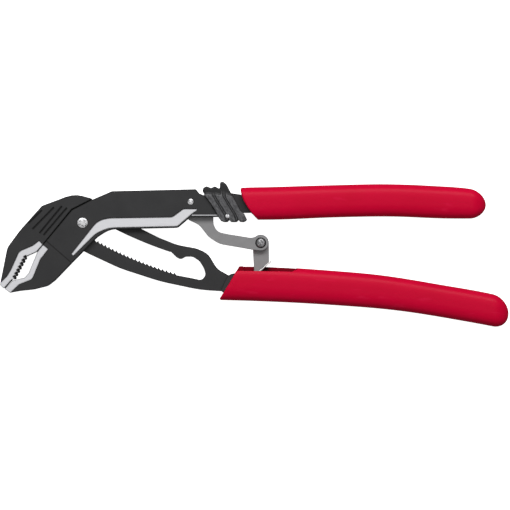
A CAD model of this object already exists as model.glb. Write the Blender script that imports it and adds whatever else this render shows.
# %% [markdown]
# # Self-adjusting tongue and groove pliers
#
# The pliers lie on one broad side. The steel shapes come packed from the CAD model and stay as they
# are; this lesson gives them their finishes, and makes new surfaces for what the CAD model keeps
# plain: the dipped grips, the ribbed lock slider, the springs and the rivet heads. Loading the
# frame comes first, because every later place is measured from it.

import math

import bmesh
import bpy
import numpy as np
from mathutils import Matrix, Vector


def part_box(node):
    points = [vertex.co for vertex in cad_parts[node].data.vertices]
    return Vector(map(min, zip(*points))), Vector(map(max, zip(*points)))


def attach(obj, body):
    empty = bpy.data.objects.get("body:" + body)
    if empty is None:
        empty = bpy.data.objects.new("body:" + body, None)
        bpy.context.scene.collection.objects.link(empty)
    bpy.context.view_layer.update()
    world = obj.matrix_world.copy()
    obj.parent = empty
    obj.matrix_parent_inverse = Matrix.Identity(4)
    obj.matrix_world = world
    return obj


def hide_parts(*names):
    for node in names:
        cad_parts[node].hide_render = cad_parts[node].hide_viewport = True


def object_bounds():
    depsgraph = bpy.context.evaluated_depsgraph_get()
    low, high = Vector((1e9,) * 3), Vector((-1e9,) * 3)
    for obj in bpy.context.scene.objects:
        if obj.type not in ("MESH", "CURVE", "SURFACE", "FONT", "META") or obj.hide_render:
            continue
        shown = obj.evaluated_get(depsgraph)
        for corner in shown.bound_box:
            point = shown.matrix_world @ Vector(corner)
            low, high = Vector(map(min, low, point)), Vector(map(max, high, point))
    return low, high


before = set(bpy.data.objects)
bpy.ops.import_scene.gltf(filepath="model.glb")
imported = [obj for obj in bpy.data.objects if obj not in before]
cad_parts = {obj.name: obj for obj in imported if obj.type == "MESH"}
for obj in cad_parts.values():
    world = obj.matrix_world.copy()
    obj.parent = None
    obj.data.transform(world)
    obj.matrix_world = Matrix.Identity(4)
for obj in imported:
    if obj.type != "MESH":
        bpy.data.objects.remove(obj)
cad_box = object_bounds()
print("CAD box in mm:", [round(1000 * (b - a), 2) for a, b in zip(*cad_box)])

# %% [markdown]
# The working drawing of the pliers is in millimetres, measured from the axis of the main pivot and
# from the middle of the thickness. Both can be read from the frame: the pivot rivet's box gives the
# axis, and the whole box gives the middle. A piece can then be drawn in easy numbers and moved to
# its place at once, so its object stays at the origin.

# %% From the drawing to the frame
MM = 0.001
low, high = (np.array(corner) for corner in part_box("pivot_rivet"))
middle = (cad_box[0][2] + cad_box[1][2]) / 2
origin = np.array([(low[0] + high[0]) / 2, (low[1] + high[1]) / 2, middle])
half_thick = (cad_box[1][2] - cad_box[0][2]) / 2 / MM


def to_frame(points):
    """Drawing millimetres to frame metres: scale by a thousandth, then add the pivot's place."""
    return np.asarray(points, float) * MM + origin


def node_centre(node):
    """The middle of a CAD node's box, back in drawing millimetres."""
    corners = np.array([tuple(corner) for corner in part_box(node)])
    return (corners.mean(0) - origin) / MM


print("pivot axis in mm:", np.round(origin / MM, 2), "half thickness:", round(half_thick, 2))

# %% [markdown]
# ## Camera, light and floor
#
# Hand tools are often shown from straight above with a long lens, which keeps both handles at the
# same scale. A wide soft light beyond the upper handle shades the grips from bright to dark, one
# high above evens out the flat faces, and a weak one fills the near side. The world is white where
# the camera looks past the tool, but lights the tool only dimly, so the steel stays dark.

# %% Camera
shown_width = 0.255
lens = 200.0
sensor = 36.0
camera_data = bpy.data.cameras.new("camera")
camera_data.lens = lens
camera_data.sensor_width = sensor
camera_data.clip_end = 20.0
camera = bpy.data.objects.new("camera", camera_data)
bpy.context.scene.collection.objects.link(camera)
shown_height = cad_box[1][2] - 0.003
camera.location = (0.0002, -0.00025, shown_height + shown_width * lens / sensor)
bpy.context.scene.camera = camera
print("camera height in m:", round(camera.location[2], 3))


# %% Soft lights and even surroundings
def soft_light(name, place, size, power):
    """A rectangle of light at place, turned so that it shines at the middle of the pliers."""
    data = bpy.data.lights.new(name, "AREA")
    data.shape = "RECTANGLE"
    data.size, data.size_y = size
    data.energy = power
    lamp = bpy.data.objects.new(name, data)
    bpy.context.scene.collection.objects.link(lamp)
    lamp.location = place
    away = lamp.location.normalized()
    lamp.rotation_euler = away.to_track_quat("Z", "Y").to_euler()
    return lamp


soft_light("key", (0.0, 0.68, 0.72), (1.2, 0.40), 9.0)
soft_light("above", (0.0, 0.25, 1.60), (1.2, 1.0), 3.6)
soft_light("fill", (-0.35, -0.75, 0.60), (0.8, 0.4), 0.3)

world = bpy.data.worlds.new("studio")
bpy.context.scene.world = world
world.use_nodes = True
sky = world.node_tree.nodes["Background"]
sky.inputs["Color"].default_value = (1.0, 1.0, 1.0, 1.0)
ray = world.node_tree.nodes.new("ShaderNodeLightPath")
strength = world.node_tree.nodes.new("ShaderNodeMapRange")
strength.inputs["To Min"].default_value = 0.18
strength.inputs["To Max"].default_value = 1.0
world.node_tree.links.new(ray.outputs["Is Camera Ray"], strength.inputs["Value"])
world.node_tree.links.new(strength.outputs["Result"], sky.inputs["Strength"])
bpy.context.scene.view_settings.view_transform = "Standard"

# %% [markdown]
# ## Writing a finish as an expression
#
# A finish is a small graph of nodes. Written node by node it is long and hard to read, so one class
# wraps a socket that carries a number and turns Python's operators into Math nodes. `1 - mask`
# needs the reflected forms too, because the plain number comes first there.


# %% A number that varies over a surface
class Number:
    """A socket that carries a number; an operator on it adds one Math node."""

    def __init__(self, tree, socket):
        self.tree = tree
        self.socket = socket

    def math(self, operation, first, second=0.0):
        node = self.tree.nodes.new("ShaderNodeMath")
        node.operation = operation
        for place, value in enumerate((first, second)):
            if isinstance(value, Number):
                self.tree.links.new(value.socket, node.inputs[place])
            else:
                node.inputs[place].default_value = value
        return Number(self.tree, node.outputs[0])

    def __add__(self, other):
        return self.math("ADD", self, other)

    def __radd__(self, other):
        return self.math("ADD", other, self)

    def __sub__(self, other):
        return self.math("SUBTRACT", self, other)

    def __rsub__(self, other):
        return self.math("SUBTRACT", other, self)

    def __mul__(self, other):
        return self.math("MULTIPLY", self, other)

    def __rmul__(self, other):
        return self.math("MULTIPLY", other, self)

    def __abs__(self):
        return self.math("ABSOLUTE", self)

    def __gt__(self, other):
        return self.math("GREATER_THAN", self, other)

    def __lt__(self, other):
        return self.math("LESS_THAN", self, other)


# %% A finish and its nodes
class Finish:
    """One material. node() adds any node, and the other methods name the few that come back often."""

    def __init__(self, name):
        self.material = bpy.data.materials.new(name)
        self.material.use_nodes = True
        self.tree = self.material.node_tree
        self.shader = self.tree.nodes["Principled BSDF"]
        place = self.node("ShaderNodeTexCoord")
        self.place = place.outputs["Object"]
        self.normal = place.outputs["Normal"]

    def feed(self, socket, value):
        if isinstance(value, Number):
            value = value.socket
        if isinstance(value, bpy.types.NodeSocket):
            self.tree.links.new(value, socket)
        else:
            socket.default_value = value

    def node(self, kind, settings=None, inputs=None):
        node = self.tree.nodes.new(kind)
        for key, value in (settings or {}).items():
            setattr(node, key, value)
        for key, value in (inputs or {}).items():
            self.feed(node.inputs[key], value)
        return node

    def number(self, socket):
        return Number(self.tree, socket)

    def part_of(self, vector, axis):
        """One of a vector's three parts, as a number."""
        parts = self.node("ShaderNodeSeparateXYZ", inputs={"Vector": vector})
        return self.number(parts.outputs[axis])

    def noise(self, per_mm, detail=2.0, turn=0.0, stretch=(1.0, 1.0, 1.0)):
        """Noise from 0 to 1, with about per_mm blotches to a millimetre, turned about Z, then stretched."""
        scale = [per_mm * part / MM for part in stretch]
        turned = self.node("ShaderNodeVectorRotate", {"rotation_type": "Z_AXIS"},
                           {"Vector": self.place, "Angle": math.radians(turn)})
        mapped = self.node("ShaderNodeVectorMath", {"operation": "MULTIPLY"},
                           {0: turned.outputs["Vector"], 1: scale})
        cloud = self.node("ShaderNodeTexNoise", None,
                          {"Vector": mapped.outputs["Vector"], "Scale": 1.0, "Detail": detail})
        return self.number(cloud.outputs["Fac"])

    def ease(self, value, start, end):
        """A smooth step of value: 0 before start, 1 after end, whichever of the two is larger."""
        step = self.node("ShaderNodeMapRange", {"interpolation_type": "SMOOTHSTEP"},
                         {"Value": value, "From Min": start, "From Max": end})
        return self.number(step.outputs["Result"])

    def blend(self, factor, first, second):
        """A colour between two colours."""
        mixed = self.node("ShaderNodeMix", {"data_type": "RGBA"},
                          {"Factor": factor, 6: first, 7: second})
        return mixed.outputs[2]

    def edge(self, reach_mm, start=0.90, end=0.995):
        """1 on and beside an edge, 0 on open ground: there a rounded normal differs from the true one."""
        rounded = self.node("ShaderNodeBevel", {"samples": 6}, {"Radius": reach_mm * MM})
        true = self.node("ShaderNodeNewGeometry").outputs["Normal"]
        agree = self.node("ShaderNodeVectorMath", {"operation": "DOT_PRODUCT"},
                          {0: rounded.outputs["Normal"], 1: true})
        return 1 - self.ease(self.number(agree.outputs["Value"]), start, end)

    def relief(self, height, depth_mm, round_mm=0.0):
        """Bends the light as if height stood depth_mm proud and edges were rounded by round_mm."""
        bump = self.node("ShaderNodeBump", None,
                         {"Height": height, "Distance": depth_mm * MM, "Strength": 1.0})
        if round_mm:
            rounded = self.node("ShaderNodeBevel", {"samples": 6}, {"Radius": round_mm * MM})
            self.feed(bump.inputs["Normal"], rounded.outputs["Normal"])
        self.feed(self.shader.inputs["Normal"], bump.outputs["Normal"])

    def set(self, **values):
        """Feeds the shader's sockets; an underscore in a name stands for a space."""
        for name, value in values.items():
            self.feed(self.shader.inputs[name.replace("_", " ")], value)


def shade(red, green, blue):
    """A colour given as a screen's 0 to 255, in the linear numbers that a shader takes."""
    parts = np.array([red, green, blue]) / 255
    linear = np.where(parts <= 0.04045, parts / 12.92, ((parts + 0.055) / 1.055) ** 2.4)
    return (*linear.tolist(), 1.0)


# %% [markdown]
# ## Blackened steel with ground bands
#
# The plates, the arm and the jaws are forged or stamped, blackened all over, and then ground bright
# along the strip on the plates and along the mouth of the jaws. Two materials on each part would
# need the faces sorted by hand. The ground places are all shallow recesses of known depth instead,
# so one material can find them: a face that looks straight out and lies at that depth is ground.
# The edges are where the face's normal turns away, and blackening gathers there. One bright line
# runs beside the slider, along the sheared lower edge of the plates, and is placed by its own span.

# %% Blackened steel
strip_level = half_thick - 1.85
band_level = half_thick - 1.80
groove_level = half_thick - 1.90
plate_face = half_thick - 1.6
arm_half = half_thick - 4.2


def steel_levels(finish):
    """How far a point is from the middle of the thickness, in mm, and how straight it looks out."""
    height = (finish.part_of(finish.place, 2) - middle) * (1 / MM)
    facing = abs(finish.part_of(finish.normal, 2))
    return abs(height), facing


def blackened_steel():
    finish = Finish("blackened_steel")
    level, facing = steel_levels(finish)
    flat = facing > 0.97
    ground = (level > strip_level - 0.02) * (level < band_level + 0.02) * flat
    groove = (level > groove_level - 0.04) * (level < groove_level + 0.02) * flat
    across = finish.part_of(finish.place, 0) * (1 / MM) - float(origin[0] / MM)
    upright = finish.part_of(finish.place, 1) * (1 / MM) - float(origin[1] / MM)
    sheared_line = ((across > 54.6) * (across < 67.4) * (upright > 3.6) * (upright < 4.0)
                    * (level > plate_face - 0.05) * flat)
    wall = 1 - finish.ease(facing, 0.30, 0.95)
    edge = finish.edge(0.85)
    cloud = finish.noise(0.12, 3.0)
    grain = finish.noise(3.2, 3.0)
    streaks = finish.noise(1.0, 2.0, turn=6.0, stretch=(0.12, 4.5, 1.0))
    tint = finish.blend(cloud * 0.5 + grain * 0.5, shade(37, 37, 38), shade(60, 60, 61))
    tint = finish.blend(wall * 0.5, tint, shade(22, 22, 23))
    tint = finish.blend(edge, tint, shade(5, 5, 5))
    tint = finish.blend(groove, tint, shade(8, 8, 8))
    bare = finish.blend(streaks * 0.6 + grain * 0.4, shade(212, 212, 216), shade(238, 238, 241))
    ground = ground * (1 - edge * 0.85) + sheared_line * 0.8
    finish.set(Base_Color=finish.blend(ground, tint, bare),
               Metallic=ground * 0.25,
               Roughness=0.44 + grain * 0.22 - ground * (0.10 - streaks * 0.12),
               Specular_IOR_Level=0.25)
    finish.relief(grain * 0.7 + streaks * ground * 0.6, 0.012, 0.35)
    return finish.material


black = blackened_steel()
print("finish:", black.name, len(black.node_tree.nodes), "nodes")

# %% [markdown]
# ## Tumbled link steel, bright rivets and wire
#
# The two links are stamped from plain sheet and tumbled, which leaves an even satin grey with fine
# scratches in every direction. Rivets are hammered over, so they are bright but mottled: the low
# spots keep some dark scale. Spring wire is drawn, with faint rings round it.

# %% Link steel, rivet steel and spring wire


def link_steel():
    finish = Finish("tumbled_steel")
    edge = finish.edge(0.6)
    cloud = finish.noise(0.25, 3.0)
    scratch = finish.noise(1.0, 3.0, turn=35.0, stretch=(0.4, 6.0, 1.0))
    cross = finish.noise(1.0, 3.0, turn=-50.0, stretch=(0.5, 5.0, 1.0))
    tone = cloud * 0.4 + scratch * 0.3 + cross * 0.3
    tint = finish.blend(tone, shade(126, 126, 127), shade(155, 154, 155))
    finish.set(Base_Color=finish.blend(edge * 0.7, tint, shade(92, 92, 94)),
               Metallic=0.15,
               Roughness=0.42 + scratch * 0.16 + cross * 0.1)
    finish.relief(scratch * 0.5 + cross * 0.5, 0.010, 0.3)
    return finish.material


def rivet_steel(name, scale_from, pale):
    """Hammered steel: dark scale where its noise is over scale_from, pale is the lightest grey."""
    finish = Finish(name)
    dents = finish.noise(1.1, 3.0)
    scale = finish.noise(1.15, 2.0)
    smudge = finish.ease(scale, scale_from, scale_from + 0.08)
    level, _ = steel_levels(finish)
    scale_ring = (level > arm_half - 0.05) * (level < arm_half + 0.115)
    tint = finish.blend(dents, shade(pale - 45, pale - 45, pale - 43), shade(pale, pale, pale + 2))
    tint = finish.blend(smudge * 0.8, tint, shade(84, 84, 86))
    finish.set(Base_Color=finish.blend(scale_ring, tint, shade(16, 16, 17)),
               Metallic=0.35,
               Roughness=0.24 + dents * 0.2 + smudge * 0.2)
    finish.relief(dents, 0.16)
    return finish.material


def spring_wire():
    finish = Finish("spring_wire")
    rings = finish.noise(2.6, 2.0)
    finish.set(Base_Color=finish.blend(rings, shade(222, 226, 224), shade(250, 252, 252)),
               Metallic=0.3,
               Roughness=0.22 + rings * 0.18)
    finish.relief(rings, 0.01)
    return finish.material


grey = link_steel()
bright = rivet_steel("hammered_rivet", 0.55, 248)
sooty = rivet_steel("sooty_rivet", 0.46, 190)
wire = spring_wire()
print("finishes:", grey.name, bright.name, sooty.name, wire.name)

# %% [markdown]
# ## Dipped grips and the slider's finish
#
# The grips are dipped in soft plastic: one deep red, smooth, with a slightly uneven skin and a
# thin clear coat over it. Hands rub the skin a little paler in places, and the walls of the slot
# stay dark, most of all beside the link. The slider is cast and coated charcoal. Its ribs are
# rubbed lighter on top and stay dark in the valleys, which the height of the surface tells.

# %% Red plastic and charcoal coat


def red_plastic():
    finish = Finish("dipped_red")
    height = (finish.part_of(finish.place, 2) - middle) * (1 / MM)
    looks_up = finish.part_of(finish.normal, 2)
    along_grip = (finish.part_of(finish.place, 0) - float(origin[0])) * (1 / MM)
    inside = (height < 0.3) * (looks_up > 0.2)
    grease = finish.ease(along_grip, 86.0, 87.0) * finish.ease(along_grip, 94.5, 92.0)
    slot_tint = finish.blend(grease, shade(128, 6, 26), shade(34, 6, 10))
    cloud = finish.noise(0.06, 2.0)
    skin = finish.noise(0.55, 2.0)
    pores = finish.noise(5.0, 2.0)
    rub = finish.ease(finish.noise(0.35, 3.0, turn=4.0, stretch=(0.25, 1.0, 1.0)), 0.60, 0.74)
    tint = finish.blend(cloud * 0.7 + pores * 0.3, shade(200, 2, 44), shade(214, 4, 57))
    tint = finish.blend(rub * 0.22, tint, shade(232, 40, 84))
    finish.set(Base_Color=finish.blend(inside, tint, slot_tint),
               Roughness=0.36 + pores * 0.12 + rub * 0.10 + inside * 0.4,
               Specular_IOR_Level=0.05,
               Coat_Weight=(0.05 - rub * 0.04) * (1 - inside),
               Coat_Roughness=0.22)
    finish.relief(skin * 0.8 + pores * 0.2, 0.05)
    return finish.material


def charcoal_coat():
    finish = Finish("charcoal_coat")
    level, facing = steel_levels(finish)
    grain = finish.noise(2.4, 3.0)
    worn = finish.ease(finish.noise(1.3, 4.0, turn=61.0, stretch=(0.5, 1.2, 1.0)), 0.36, 0.64)
    top = finish.ease(level, 5.72, 6.2)
    low = 1 - finish.ease(level, 5.45, 5.75)
    wall = 1 - finish.ease(facing, 0.25, 0.95)
    valley = finish.blend(grain, shade(28, 28, 29), shade(44, 44, 46))
    crest = finish.blend(worn * 0.7 + grain * 0.3, shade(58, 58, 60), shade(100, 100, 102))
    tint = finish.blend(top * (1 - wall * 0.6), valley, crest)
    tint = finish.blend(low * 0.8, tint, shade(20, 20, 21))
    finish.set(Base_Color=tint,
               Roughness=0.42 + grain * 0.2,
               Specular_IOR_Level=0.35)
    finish.relief(grain, 0.02)
    return finish.material


red = red_plastic()
charcoal = charcoal_coat()
print("finishes:", red.name, charcoal.name)

# %% [markdown]
# ## Floor
#
# A plain pale sheet just under the pliers. It glows, so the camera sees it evenly pale, but it is
# hidden from bounced light and reflections, so the glow puts no light on the tool.


# %% Surfaces on a grid
def grid_faces(rows, columns, wrap):
    """Corner numbers of the quads of a grid; wrap joins the last column to the first."""
    across = columns if wrap else columns - 1
    row, column = np.meshgrid(np.arange(rows - 1), np.arange(across), indexing="ij")
    here = row * columns + column
    beside = row * columns + (column + 1) % columns
    return np.stack([here, beside, beside + columns, here + columns], -1).reshape(-1, 4)


def solid_mesh(name, points, faces, sharp=35.0):
    """A mesh in the frame from drawing points, with doubles merged and every face turned outwards."""
    mesh = bpy.data.meshes.new(name)
    mesh.from_pydata(to_frame(points).tolist(), [], faces)
    shell = bmesh.new()
    shell.from_mesh(mesh)
    bmesh.ops.remove_doubles(shell, verts=shell.verts, dist=2e-6)
    bmesh.ops.recalc_face_normals(shell, faces=shell.faces)
    shell.to_mesh(mesh)
    shell.free()
    mesh.shade_smooth()
    mesh.set_sharp_from_angle(angle=math.radians(sharp))
    return mesh


def add_object(name, mesh):
    piece = bpy.data.objects.new(name, mesh)
    bpy.context.scene.collection.objects.link(piece)
    return piece


def settle(piece, finish, body, slot, *nodes):
    """Gives a finished piece its finish, its body, its slot and the CAD nodes it stands for."""
    piece.data.materials.clear()
    piece.data.materials.append(finish)
    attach(piece, body)
    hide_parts(*nodes)
    print(piece.name, len(piece.data.polygons), "faces, on", body)
    return piece


# %% Pale floor
def pale_paper():
    finish = Finish("pale_paper")
    tone = finish.noise(0.02, 2.0)
    finish.set(Base_Color=finish.blend(tone, shade(244, 244, 244), shade(250, 250, 250)),
               Roughness=0.8 + tone * 0.1,
               Emission_Color=(1.0, 1.0, 1.0, 1.0),
               Emission_Strength=1.0)
    return finish.material


floor_half = 1500.0
steps = np.linspace(-floor_half, floor_half, 41)
floor_x, floor_y = np.meshgrid(steps, steps, indexing="ij")
floor_points = np.stack([floor_x, floor_y, np.full_like(floor_x, -half_thick - 0.02)], -1)
floor_mesh = bpy.data.meshes.new("floor")
floor_mesh.from_pydata(to_frame(floor_points.reshape(-1, 3)).tolist(), [],
                       grid_faces(41, 41, False)[:, ::-1].tolist())
floor_mesh.materials.append(pale_paper())
floor = add_object("floor", floor_mesh)
floor.visible_diffuse = False
floor.visible_glossy = False
print("floor:", len(floor_mesh.polygons), "faces")

# %% [markdown]
# ## Steel parts from the CAD model
#
# The stamped and forged steel keeps its CAD shape. Its mesh arrives as loose triangles with knife
# edges, and real steel has a small break on every edge. A Weld modifier joins the triangles and a
# Bevel modifier rounds the edges, both left live, so the CAD mesh under them stays untouched.

# %% Edge breaks and finishes of the steel


def dress(node, finish, width_mm):
    """Gives a CAD node a finish and a small rounding of its sharp edges."""
    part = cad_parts[node]
    part.data.materials.clear()
    part.data.materials.append(finish)
    weld = part.modifiers.new("weld", "WELD")
    weld.merge_threshold = 1e-6
    if width_mm:
        bevel = part.modifiers.new("edge", "BEVEL")
        bevel.width = width_mm * MM
        bevel.segments = 2
        bevel.limit_method = "ANGLE"
        bevel.angle_limit = math.radians(38)
        bevel.harden_normals = False
        bevel.miter_outer = "MITER_ARC"


steel_finishes = {
    "front_side_plate": (black, 0.3),
    "rear_side_plate": (black, 0.3),
    "fixed_jaw": (black, 0.3),
    "toothed_arm": (black, 0.22),
    "handle_lever": (black, 0.3),
    "handle_channel": (black, 0.2),
    "lever_rivets": (black, 0.0),
    "channel_rivets": (black, 0.0),
    "upper_link": (grey, 0.25),
    "lower_link": (grey, 0.25),
    "slide_block": (grey, 0.2),
    "toothed_shoe": (grey, 0.0),
    "anchor_pin": (bright, 0.0),
}
for node, (finish, width) in steel_finishes.items():
    dress(node, finish, width)
print("dressed:", len(steel_finishes), "CAD nodes")

# %% [markdown]
# ## Grips
#
# A grip is a closed skin drawn along its length: a ring of points at each station, each ring a
# rounded box whose top and bottom follow two side-view curves. The front is cut off on a slant, so
# the rings near it lean over. The first rings lie in the slanted front face and grow to its rim,
# and the last ones close the round tail. The pocket for the steel and the slot for the link are
# then carved out with simple blocks.


# %% Smooth curves and carved solids
def smooth_curve(knots, x):
    """The height at x of a smooth line through knots: a cubic between each two, slopes from neighbours."""
    knot_x, knot_y = np.array(knots, float).T
    slope = np.gradient(knot_y, knot_x)
    place = np.clip(np.searchsorted(knot_x, x) - 1, 0, len(knot_x) - 2)
    width = knot_x[place + 1] - knot_x[place]
    t = (x - knot_x[place]) / width
    ahead = 3 * t**2 - 2 * t**3
    return ((1 - ahead) * knot_y[place] + ahead * knot_y[place + 1]
            + (t**3 - 2 * t**2 + t) * slope[place] * width
            + (t**3 - t**2) * slope[place + 1] * width)


def block(name, outline, bottom, top):
    """A straight-sided block: a flat outline carried from one height to another."""
    count = len(outline)
    flat = np.array(outline, float)
    points = np.concatenate([np.column_stack([flat, np.full(count, height)])
                             for height in (bottom, top)])
    walls = grid_faces(2, count, True).tolist()
    ends = [list(range(count)), list(range(count, 2 * count))]
    return add_object(name, solid_mesh(name, points, walls + ends))


def carve(piece, cutters):
    """Takes the cutters away from the piece, keeps the resulting mesh and removes the cutters."""
    piece.modifiers.new("flat_faces", "TRIANGULATE")
    for cutter in cutters:
        cut = piece.modifiers.new(cutter.name, "BOOLEAN")
        cut.operation = "DIFFERENCE"
        cut.solver = "EXACT"
        cut.object = cutter
    shaped = piece.evaluated_get(bpy.context.evaluated_depsgraph_get())
    carved = bpy.data.meshes.new_from_object(shaped)
    piece.modifiers.clear()
    piece.data = carved
    carved.set_sharp_from_angle(angle=math.radians(35))
    for cutter in cutters:
        bpy.data.objects.remove(cutter)


# %% A grip's skin
grip_sides = 72
grip_half_height = 8.0
lean_fades = 40.0


def grip_skin(name, top, bottom, front, tail, lean, bow):
    """Rings of a rounded box along X.

    Round the ring, the height and the depth are powers of cosine and sine, which squares a circle
    up. Along the grip, a ring leans by lean times its height near the front, bows back by bow mm
    at its middle, and stands upright beyond 40 mm. The tail closes on a quarter ellipse.
    """
    around = np.radians(np.arange(grip_sides) * 360 / grip_sides)
    across = np.sign(np.cos(around)) * np.abs(np.cos(around)) ** 0.72
    depth = np.sign(np.sin(around)) * np.abs(np.sin(around)) ** 0.66
    rim, tail_long = 0.8, 8.0
    roll = np.radians(np.linspace(0, 90, 7))
    face_size = np.array([0.0, 0.3, 0.6])
    body = np.linspace(rim + 1.0, tail - tail_long - front, 90)
    close = tail_long * np.sin(np.radians(np.linspace(6, 90, 16)))
    station = np.concatenate([np.zeros(3), rim * (1 - np.cos(roll)), body,
                              tail - tail_long - front + close]) + front
    inset = np.concatenate([np.zeros(3), rim * (1 - np.sin(roll)), np.zeros(90 + 16)])
    face = np.concatenate([face_size, np.ones(7 + 90 + 16)])
    lean_share = 1 - np.clip((station - front) / lean_fades, 0, 1)
    lean_share = lean_share**2 * (3 - 2 * lean_share)
    slant = (lean * grip_half_height * across * face[:, None]
             - bow * (1 - (across * face[:, None]) ** 2))
    x = station[:, None] + lean_share[:, None] * slant
    upper = smooth_curve(top, np.minimum(x, top[-1][0]))
    lower = smooth_curve(bottom, np.minimum(x, bottom[-1][0]))
    end = np.clip((station - tail + tail_long) / tail_long, 0, 1)
    shut = np.sqrt(1 - end**2)[:, None]
    tall = ((upper - lower) / 2 - inset[:, None]) * face[:, None] * shut
    thick = (half_thick - 0.02 - inset[:, None]) * face[:, None] * shut ** 0.85
    y = (upper + lower) / 2 + tall * across[None, :]
    z = thick * depth[None, :]
    rings = np.stack([x, y, z], -1)
    faces = grid_faces(len(station), grip_sides, True)
    mesh = solid_mesh(name, rings.reshape(-1, 3), faces.tolist())
    return add_object(name, mesh)


# %% Upper grip
lever_outline = [(60, 15.0), (74.0, 15.0), (80, 14.1), (100, 14.3), (150, 14.9), (150, 6.9),
                 (100, 5.5), (84, 4.9), (60, 4.9)]
upper_top = [(76, 17.4), (81, 17.7), (93.65, 18.0), (123.65, 18.9), (153.65, 19.4),
             (173.65, 18.65), (197, 16.6), (201.8, 15.6)]
upper_bottom = [(76, 1.5), (98.65, 1.65), (123.65, 2.65), (153.65, 3.15), (183.65, 2.15),
                (197, 2.2), (201.8, 2.4)]
half_gap = 2.6
upper_grip = grip_skin("upper_grip_skin", upper_top, upper_bottom, 83.0, 201.8, -0.516, 1.7)
carve(upper_grip, [block("lever_pocket", lever_outline, -half_gap, half_gap)])
settle(upper_grip, red, "upper_handle", "red_grip", "upper_grip")

# %% [markdown]
# The lower grip has a slot in its upper edge, where the lower link goes in. The front cheek of the
# slot is lower than the rear one, so the rear cheek shows as a dark wall behind the link.

# %% Lower grip
lower_top = [(66, -22.0), (78.65, -21.7), (93.65, -22.0), (123.65, -23.85), (148.65, -26.1),
             (178.65, -30.85), (206.15, -35.85), (213.2, -37.5)]
lower_bottom = [(66, -38.6), (83.65, -39.1), (123.65, -41.1), (158.65, -44.1),
                (188.65, -48.85), (206, -52.05), (213.2, -53.5)]
channel_outline = [(66.0, -26.0), (76.4, -25.1), (84.4, -25.9), (106.5, -26.1), (130, -28.1),
                   (150, -30.9), (150, -38.1), (120, -37.7), (84, -36.7), (66.0, -35.6)]
channel_half = 4.25
lip_outline = [(66, -15), (66, -23.8), (104.8, -24.4), (107.2, -23.3), (108.6, -15)]
lower_grip = grip_skin("lower_grip_skin", lower_top, lower_bottom, 73.2, 213.18, 0.587, 0.0)
carve(lower_grip, [
    block("channel_pocket", channel_outline, -channel_half, channel_half),
    block("link_slot", [(80.6, -27), (79.6, -15), (107, -15), (107, -27)], -half_gap, half_gap),
    block("front_lip", lip_outline, 0.0, 20.0),
])
settle(lower_grip, red, "lower_handle", "red_grip", "lower_grip")

# %% [markdown]
# ## Lock slider
#
# The slider is a casting that the thumb pushes along the upper handle: slanted ribs on both broad
# faces, lobes along its ends, and a fin to push against. It can be drawn as one patch stretched
# between four border curves. Lines of the patch that run from the lower border to the upper one
# are the ribs' own direction, so a rib is only a height that depends on the place across the patch.


# %% The slider's outline and ribs
def along(knots, share, soften):
    """A border curve: straight lines through knots [share, x, y], rounded by averaging neighbours."""
    knots = np.array(knots, float)
    fine = np.linspace(0, 1, 801)
    line = np.stack([np.interp(fine, knots[:, 0], knots[:, k]) for k in (1, 2)], -1)
    ramp = line[0] + (line[-1] - line[0]) * fine[:, None]
    bell = np.hanning(soften)
    padded = np.pad(line - ramp, ((soften // 2, soften // 2), (0, 0)))
    smooth = np.stack([np.convolve(padded[:, k], bell / bell.sum(), "valid") for k in (0, 1)], -1)
    smooth = smooth[:801] + ramp
    return np.stack([np.interp(share, fine, smooth[:, k]) for k in (0, 1)], -1)


slider_half = 6.3
top_line = [(0.0, 59.9, 15.8), (0.04, 60.3, 17.6), (0.13, 62.0, 18.4), (0.26, 64.2, 17.5),
            (0.38, 66.1, 18.3), (0.50, 68.2, 17.2), (0.55, 68.6, 17.6), (0.57, 68.6, 19.6),
            (0.60, 68.9, 20.5), (0.66, 70.4, 20.55), (0.72, 71.9, 19.3), (1.0, 74.2, 14.9)]
low_line = [(0.0, 68.3, 2.1), (0.06, 69.2, 0.9), (0.17, 70.8, 0.3), (0.29, 72.4, 0.4),
            (0.35, 73.3, 1.3), (0.42, 74.2, 0.4), (0.53, 75.6, 0.3), (0.64, 77.1, 0.4),
            (0.70, 77.9, 1.3), (0.77, 78.8, 0.4), (0.88, 80.4, 0.3), (0.97, 81.8, 0.9),
            (1.0, 82.1, 1.7)]
left_line = [(0.0, 68.3, 2.1), (0.50, 64.2, 9.1), (0.66, 62.6, 11.2), (0.80, 61.0, 13.2),
             (0.92, 60.6, 14.4), (1.0, 59.9, 15.8)]
right_line = [(0.0, 82.1, 1.7), (0.22, 80.7, 4.6), (0.30, 79.3, 5.7), (1.0, 74.2, 14.9)]
ribs = [(0.02, 0.25, 1.0), (0.285, 0.325, 0.45), (0.36, 0.61, 1.0), (0.645, 0.68, 0.45),
        (0.715, 0.99, 1.0)]


def eased(value, start, end):
    """A smooth step from 0 at start to 1 at end."""
    share = np.clip((value - start) / (end - start), 0, 1)
    return share**2 * (3 - 2 * share)


def bulge(knots, share):
    """How far a border stands off the straight line between its own ends."""
    line = along(knots, share, 31)
    return line - line[0] - (line[-1] - line[0]) * share[:, None]


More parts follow.
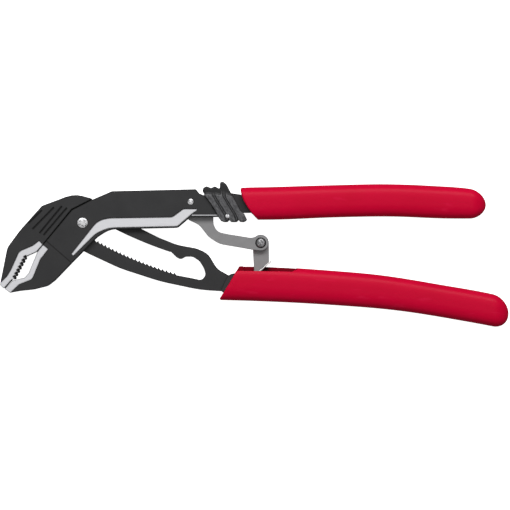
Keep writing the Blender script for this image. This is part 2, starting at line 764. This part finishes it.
def slider_skin():
    """The patch, its mirror image and the wall between them.

    A point of the patch lies in the slanted four-cornered shape between the border's corners, plus
    each border's bulge, which dies away inwards. Its height is the half thickness, less the grooves
    between the ribs, less a step beyond the ribs' upper ends, less a round at the border.
    """
    rows, columns = 120, 210
    up, over = np.meshgrid(np.linspace(0, 1, rows), np.linspace(0, 1, columns), indexing="ij")
    s, t = over[..., None], up[..., None]
    low_left, low_right = np.array(low_line[0][1:]), np.array(low_line[-1][1:])
    top_left, top_right = np.array(top_line[0][1:]), np.array(top_line[-1][1:])
    flat = ((1 - t) * ((1 - s) * low_left + s * low_right)
            + t * ((1 - s) * top_left + s * top_right)
            + bulge(low_line, over[0])[None] * eased(t, 0.16, 0.0)
            + bulge(top_line, over[0])[None] * eased(t, 0.82, 1.0)
            + bulge(left_line, up[:, 0])[:, None] * eased(s, 0.22, 0.0)
            + bulge(right_line, up[:, 0])[:, None] * eased(s, 0.78, 1.0))
    soft = 0.012
    rib = sum(full * eased(over, a - soft, a + soft) * eased(over, b + soft, b - soft)
              for a, b, full in ribs)
    crest = eased(up, 0.90, 0.85)
    long_side, short_side = 15.8, 11.6
    border = np.minimum(np.minimum(up, 1 - up) * long_side, np.minimum(over, 1 - over) * short_side)
    round_off = 1 - np.sqrt(1 - (1 - np.clip(border / 0.7, 0, 1)) ** 2)
    height = slider_half - 0.5 * (1 - rib) * crest - 0.75 * (1 - crest) - 0.7 * round_off
    top = np.concatenate([flat, height[..., None]], -1).reshape(-1, 3)
    under = top * (1, 1, -1)
    number = np.arange(rows * columns).reshape(rows, columns)
    rim = np.concatenate([number[0, :-1], number[:-1, -1], number[-1, :0:-1], number[:0:-1, 0]])
    wall = np.stack([rim, np.roll(rim, -1), np.roll(rim, -1) + rows * columns,
                     rim + rows * columns], -1)
    sheet = grid_faces(rows, columns, False)
    faces = np.concatenate([sheet, sheet[:, ::-1] + rows * columns, wall])
    return solid_mesh("lock_slider_casting", np.concatenate([top, under]), faces.tolist(), 50.0)


slider = add_object("lock_slider_casting", slider_skin())
plate_run = [(50, 2.6), (70.8, 2.6), (70.8, 15.2), (50, 15.2)]
carve(slider, [
    block("front_plate_run", plate_run, 2.3, 5.2),
    block("rear_plate_run", plate_run, -5.2, -2.3),
    block("lever_run", [(50, 4.7), (90, 4.7), (90, 15.2), (50, 15.2)], -2.9, 2.9),
    block("link_run", [(50, -2), (68.2, -2), (68.2, 6), (50, 6)], -2.6, 2.6),
])
settle(slider, charcoal, "lock_slider", "slider_black", "lock_slider")

# %% [markdown]
# ## Rivets
#
# A rivet head is turned, so it is a profile carried round an axis. Small lobes in the radius and
# the height, from a few sine waves, make it look hammered rather than machined.


# %% Turned pieces
turned_sides = 64


def turned(name, centre, profile, wobble):
    """A profile of [radius, height] carried round a vertical axis; wobble mm of hammering on it."""
    radius, height = np.array(profile, float).T
    turn = np.radians(np.arange(turned_sides) * 360 / turned_sides)
    lumps = (np.sin(3 * turn[None] + 5 * radius[:, None]) + np.sin(5 * turn[None] - 7 * radius[:, None])
             + np.sin(2 * turn[None] + 11 * radius[:, None]))
    inner = np.clip(1 - radius / radius.max(), 0, 1)[:, None]
    wide = radius[:, None]
    points = np.stack([centre[0] + wide * np.cos(turn), centre[1] + wide * np.sin(turn),
                       height[:, None] + wobble * lumps * np.sqrt(inner) * (radius[:, None] > 0)
                       * (np.abs(height[:, None]) > 0)], -1)
    faces = grid_faces(len(profile), turned_sides, True)
    return add_object(name, solid_mesh(name, points.reshape(-1, 3), faces.tolist(), 40.0))


def dome(radius, rise, level, steps=9):
    """The profile of a low dome from its pole to its rim."""
    share = np.sin(np.radians(np.linspace(0, 90, steps)))
    return [(radius * part, level + rise * math.sqrt(max(0.0, 1 - part**2))) for part in share]


pivot = node_centre("pivot_rivet")
pivot_profile = (dome(2.6, 0.62, plate_face + 0.06) + [(2.6, plate_face - 0.1), (2.5, -plate_face)]
                 + [(3.9, -plate_face), (4.2, -plate_face - 0.3), (4.2, -half_thick + 0.35),
                    (3.9, -half_thick + 0.08), (2.0, -half_thick + 0.08),
                    (1.2, -half_thick + 0.5), (0.0, -half_thick + 0.8)])
pivot_rivet = turned("pivot_rivet_head", pivot, pivot_profile, 0.02)
settle(pivot_rivet, bright, "upper_handle", "bright_steel", "pivot_rivet")

link_pin = node_centre("link_rivet")
link_profile = (dome(1.5, 0.30, plate_face + 0.04, 7) + [(1.5, -plate_face), (2.4, -plate_face)]
                + [(r, -h) for r, h in dome(2.4, 0.66, plate_face, 8)][::-1])
link_rivet = turned("link_rivet_head", link_pin, link_profile, 0.015)
settle(link_rivet, bright, "upper_handle", "bright_steel", "link_rivet")

knuckle = node_centre("knuckle_rivet")
knuckle_profile = (dome(2.1, 0.66, arm_half + 0.12) + [(2.12, arm_half + 0.05), (2.6, arm_half + 0.08),
                    (2.72, arm_half + 0.02), (1.6, arm_half - 0.02)]
                   + [(1.6, -arm_half), (2.3, -arm_half)]
                   + [(r, -h) for r, h in dome(2.3, 0.55, arm_half, 8)][::-1])
knuckle_rivet = turned("knuckle_rivet_head", knuckle, knuckle_profile, 0.03)
settle(knuckle_rivet, sooty, "lower_link", "bright_steel", "knuckle_rivet")

pin = node_centre("guide_pin")
pin_profile = (dome(1.05, 0.25, 6.18, 7) + [(1.05, 6.0), (0.98, 6.0), (0.98, -6.0), (1.05, -6.0)]
               + [(r, -h) for r, h in dome(1.05, 0.25, 6.18, 7)][::-1])
guide_pin = turned("guide_pin_head", pin, pin_profile, 0.01)
settle(guide_pin, bright, "lock_slider", "bright_steel", "guide_pin")

# %% [markdown]
# ## Springs
#
# Each spring is a round wire bent along a path. The path of a coil is a screw line; its legs are
# straight runs. All the path's points are found at once, its corners are softened by averaging, and
# a circle is carried along it, standing square to the path at every point.


# %% Wire along a path
wire_sides = 14
wire_step = 0.16


def bent_wire(name, path, radius, soften=9):
    """A circle carried along path; the ends close on a quarter circle. The path is in mm."""
    path = np.asarray(path, float)
    length = np.concatenate([[0], np.cumsum(np.linalg.norm(np.diff(path, axis=0), axis=1))])
    count = max(60, int(length[-1] / wire_step))
    place = np.linspace(0, length[-1], count)
    line = np.stack([np.interp(place, length, path[:, k]) for k in range(3)], -1)
    bell = np.hanning(soften + 2)[1:-1]
    padded = np.pad(line, ((soften // 2, soften // 2), (0, 0)), "edge")
    line = np.stack([np.convolve(padded[:, k], bell / bell.sum(), "valid") for k in range(3)], -1)
    ahead = np.gradient(line, axis=0)
    ahead /= np.linalg.norm(ahead, axis=1)[:, None]
    start_side = np.array([0.31, 0.17, 0.94])
    side = np.cross(ahead, start_side)
    side /= np.linalg.norm(side, axis=1)[:, None]
    up = np.cross(side, ahead)
    turn = np.radians(np.arange(wire_sides) * 360 / wire_sides)
    near_end = np.minimum(place, place[-1] - place)
    full = radius * np.sqrt(1 - (1 - np.clip(near_end / radius, 0, 1)) ** 2)
    rings = (line[:, None] + full[:, None, None]
             * (np.cos(turn)[None, :, None] * side[:, None] + np.sin(turn)[None, :, None] * up[:, None]))
    faces = grid_faces(count, wire_sides, True)
    return add_object(name, solid_mesh(name, rings.reshape(-1, 3), faces.tolist(), 60.0))


def coil(centre, radius, start, turns, level, rise, count=160):
    """A screw line round a vertical axis: start in degrees, rise in mm from end to end."""
    angle = np.radians(start + np.linspace(0, turns * 360, count))
    return np.stack([centre[0] + radius * np.cos(angle), centre[1] + radius * np.sin(angle),
                     level + np.linspace(0, rise, count)], -1)


# %% The three springs
eye = link_pin
opening_path = np.concatenate([
    [(eye[0] - 8.5, eye[1] + 2.4, -0.5)],
    coil(eye, 2.6, 90, -2.25, -0.5, -1.4),
    [(eye[0] + 4.8, eye[1] - 10, -1.9)],
])
opening_spring = bent_wire("opening_spring_wire", opening_path, 0.29)
settle(opening_spring, wire, "upper_link", "bright_steel", "opening_spring")

anchor = node_centre("anchor_pin")
link_path = np.concatenate([
    coil(anchor, 3.2, 180 + 810, -2.25, 1.85, -1.4),
    [(86.5, -25.85, 0.5), (93.7, -19.75, 0.5), (94.1, -19.3, 0.1), (94.1, -19.3, -2.0)],
])
link_spring = bent_wire("link_spring_wire", link_path, 0.34, 5)
settle(link_spring, wire, "lower_link", "bright_steel", "link_spring")

shoe_axis = np.radians(90 - 29.3)
shoe_way = np.array([math.cos(shoe_axis), math.sin(shoe_axis), 0.0])
shoe_side = np.array([shoe_way[1], -shoe_way[0], 0.0])
shoe_turn = np.linspace(0, 2 * math.pi * 3, 160)
shoe_path = (node_centre("shoe_spring") + shoe_way * np.linspace(-0.95, 0.95, 160)[:, None]
             + 1.3 * np.cos(shoe_turn)[:, None] * shoe_side
             + 1.3 * np.sin(shoe_turn)[:, None] * np.array([0.0, 0.0, 1.0]))
shoe_spring = bent_wire("shoe_spring_wire", shoe_path, 0.25, 3)
settle(shoe_spring, wire, "carriage", "bright_steel", "shoe_spring")
